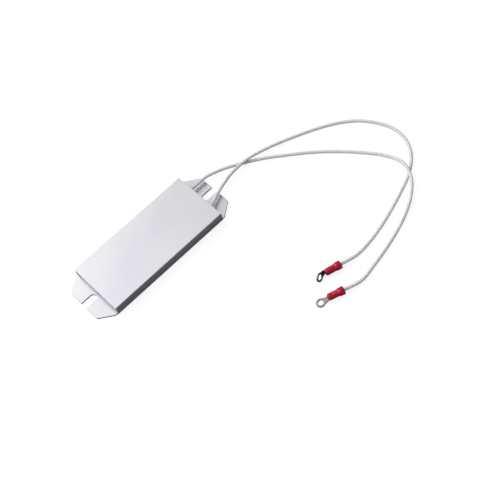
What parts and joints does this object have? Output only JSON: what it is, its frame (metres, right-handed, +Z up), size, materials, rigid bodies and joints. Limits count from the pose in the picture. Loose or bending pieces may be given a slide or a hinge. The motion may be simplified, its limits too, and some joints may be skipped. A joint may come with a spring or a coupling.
{
  "type": "aluminium housed power resistor",
  "caption": "Flat aluminium housed wirewound resistor with slotted end ears and two insulated leads that end in ring terminals.",
  "frame": {"origin": "centre of the housing's underside, without the leads", "axes": "+X along the housing towards the end that the leads come out of; +Z up, square to the mounting face; +Y to the left seen from the blind end"},
  "size_m": [0.2106, 0.1307, 0.0072],
  "materials": {
    "housing_aluminium": "fine satin anodised",
    "seal_cement": "matt cast cement",
    "mica": "smooth mica sheet",
    "resistance_alloy": "drawn nickel-chrome ribbon",
    "nickel_strip": "rolled nickel",
    "tinned_copper": "tinned, satin",
    "ceramic_filler": "packed powder",
    "copper_strands": "tinned strands",
    "lead_insulation": "smooth silicone, slight sheen",
    "red_sleeve": "glossy soft vinyl"
  },
  "bodies": {
    "root": {"housing": "housing_aluminium", "end_seal_leads": "seal_cement", "end_seal_blind": "seal_cement", "lower_mica": "mica", "upper_mica": "mica", "winding_card": "mica", "winding": "resistance_alloy", "lead_strip": "nickel_strip", "return_strip": "nickel_strip", "splice_a": "tinned_copper", "splice_b": "tinned_copper", "filler": "ceramic_filler", "conductor_a": "copper_strands", "conductor_b": "copper_strands", "lead_a": "lead_insulation", "lead_b": "lead_insulation", "terminal_a": "tinned_copper", "terminal_b": "tinned_copper", "sleeve_a": "red_sleeve", "sleeve_b": "red_sleeve"}
  },
  "joints": []
}
